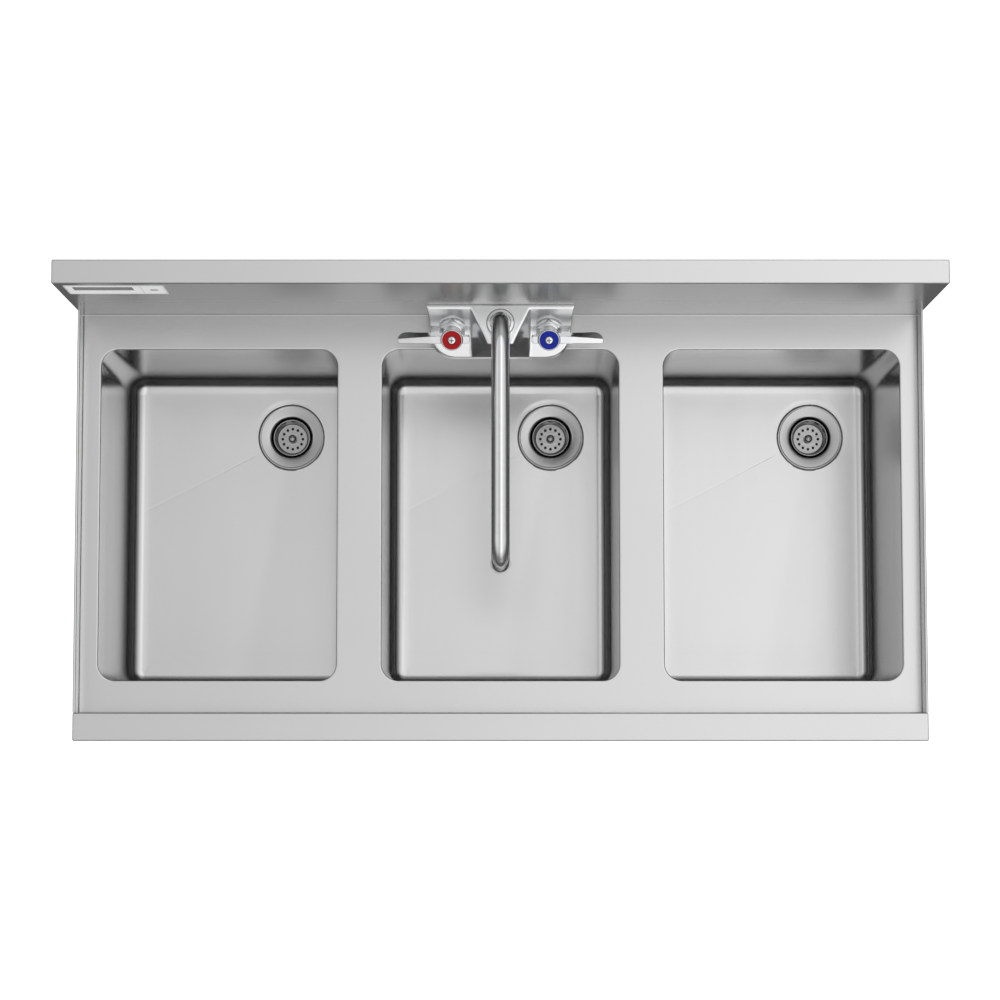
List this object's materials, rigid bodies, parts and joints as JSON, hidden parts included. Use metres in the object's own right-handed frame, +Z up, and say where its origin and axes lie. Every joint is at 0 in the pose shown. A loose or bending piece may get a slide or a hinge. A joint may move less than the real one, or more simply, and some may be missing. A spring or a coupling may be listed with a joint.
{
  "type": "three compartment sink",
  "caption": "Commercial kitchen sink with a row of deep drawn bowls, wall splash, swing spout wall faucet, lift-out basket strainers and tube legs on levelling feet.",
  "frame": {"origin": "on the floor under the centre of the overall length and depth", "axes": "+Z up, +Y towards the wall splash, +X to the right of a person standing at the front"},
  "size_m": [0.904, 0.4828, 1.0922],
  "materials": {
    "sheet_steel": "satin brushed stainless sheet",
    "drawn_steel": "satin drawn stainless sheet",
    "tube_steel": "polished stainless tube",
    "foot_steel": "turned stainless",
    "hardware_steel": "plain stainless",
    "drain_steel": "polished pressed stainless",
    "chrome_plate": "polished chrome on brass",
    "plain_brass": "unplated brass",
    "rubber": "black rubber",
    "fibre": "pressed fibre",
    "red_plastic": "moulded red ring",
    "blue_plastic": "moulded blue ring",
    "grey_plastic": "moulded grey insert",
    "label_film": "blank printed film, no text"
  },
  "bodies": {
    "sink": {"backsplash": "sheet_steel", "blank_label": "label_film", "bonnet_nuts": "chrome_plate", "bowl_center": "drawn_steel", "bowl_left": "drawn_steel", "bowl_right": "drawn_steel", "deck_panel": "sheet_steel", "drain_body_center": "drain_steel", "drain_body_left": "drain_steel", "drain_body_right": "drain_steel", "drain_coupling_nuts": "plain_brass", "drain_friction_rings": "fibre", "drain_gaskets": "rubber", "drain_locknuts": "plain_brass", "faucet_body": "chrome_plate", "foot_inserts": "hardware_steel", "front_rim": "sheet_steel", "leg_front_left": "tube_steel", "leg_front_right": "tube_steel", "leg_rear_left": "tube_steel", "leg_rear_right": "tube_steel", "leg_sockets": "hardware_steel", "rear_brace": "tube_steel", "rim_end_caps": "sheet_steel", "shank_locknuts": "plain_brass", "shank_washers": "plain_brass", "side_brace_left": "tube_steel", "side_brace_right": "tube_steel", "side_hem_left": "sheet_steel", "side_hem_right": "sheet_steel", "socket_set_screws": "hardware_steel", "splash_end_caps": "sheet_steel", "spout_nut": "chrome_plate", "supply_shanks": "plain_brass", "tailpiece_washers": "rubber", "tailpieces": "plain_brass", "valve_cartridges": "plain_brass", "valve_seats": "rubber"},
    "spout": {"spout_tube": "chrome_plate", "spout_outlet": "chrome_plate", "aerator_insert": "grey_plastic", "spout_o_rings": "rubber"},
    "hot_valve": {"hot_handle": "chrome_plate", "hot_stem": "plain_brass", "hot_index_ring": "red_plastic", "hot_handle_screw": "chrome_plate"},
    "cold_valve": {"cold_handle": "chrome_plate", "cold_stem": "plain_brass", "cold_index_ring": "blue_plastic", "cold_handle_screw": "chrome_plate"},
    "basket_left": {"strainer_basket_left": "drain_steel", "basket_stopper_left": "rubber"},
    "basket_center": {"strainer_basket_center": "drain_steel", "basket_stopper_center": "rubber"},
    "basket_right": {"strainer_basket_right": "drain_steel", "basket_stopper_right": "rubber"},
    "levelling_foot_front_left": {"foot_front_left": "foot_steel"},
    "levelling_foot_front_right": {"foot_front_right": "foot_steel"},
    "levelling_foot_rear_left": {"foot_rear_left": "foot_steel"},
    "levelling_foot_rear_right": {"foot_rear_right": "foot_steel"}
  },
  "joints": [
    {"name": "spout_swing", "type": "hinge", "parent": "sink", "child": "spout", "pos_m": [0, 0.1962, 0.97], "axis": [0, 0, 1], "range_deg": [-90, 90]},
    {"name": "hot_turn", "type": "hinge", "parent": "sink", "child": "hot_valve", "pos_m": [-0.051, 0.1892, 0.9407], "axis": [0, -0.3827, 0.9239], "range_deg": [0, 90]},
    {"name": "cold_turn", "type": "hinge", "parent": "sink", "child": "cold_valve", "pos_m": [0.051, 0.1892, 0.9407], "axis": [0, -0.3827, 0.9239], "range_deg": [-90, 0]},
    {"name": "basket_left_lift", "type": "slide", "parent": "sink", "child": "basket_left", "axis": [0, 0, 1], "range_m": [0, 0.3]},
    {"name": "basket_center_lift", "type": "slide", "parent": "sink", "child": "basket_center", "axis": [0, 0, 1], "range_m": [0, 0.3]},
    {"name": "basket_right_lift", "type": "slide", "parent": "sink", "child": "basket_right", "axis": [0, 0, 1], "range_m": [0, 0.3]},
    {"name": "foot_front_left_level", "type": "slide", "parent": "sink", "child": "levelling_foot_front_left", "axis": [0, 0, -1], "range_m": [0, 0.025]},
    {"name": "foot_front_right_level", "type": "slide", "parent": "sink", "child": "levelling_foot_front_right", "axis": [0, 0, -1], "range_m": [0, 0.025]},
    {"name": "foot_rear_left_level", "type": "slide", "parent": "sink", "child": "levelling_foot_rear_left", "axis": [0, 0, -1], "range_m": [0, 0.025]},
    {"name": "foot_rear_right_level", "type": "slide", "parent": "sink", "child": "levelling_foot_rear_right", "axis": [0, 0, -1], "range_m": [0, 0.025]}
  ]
}
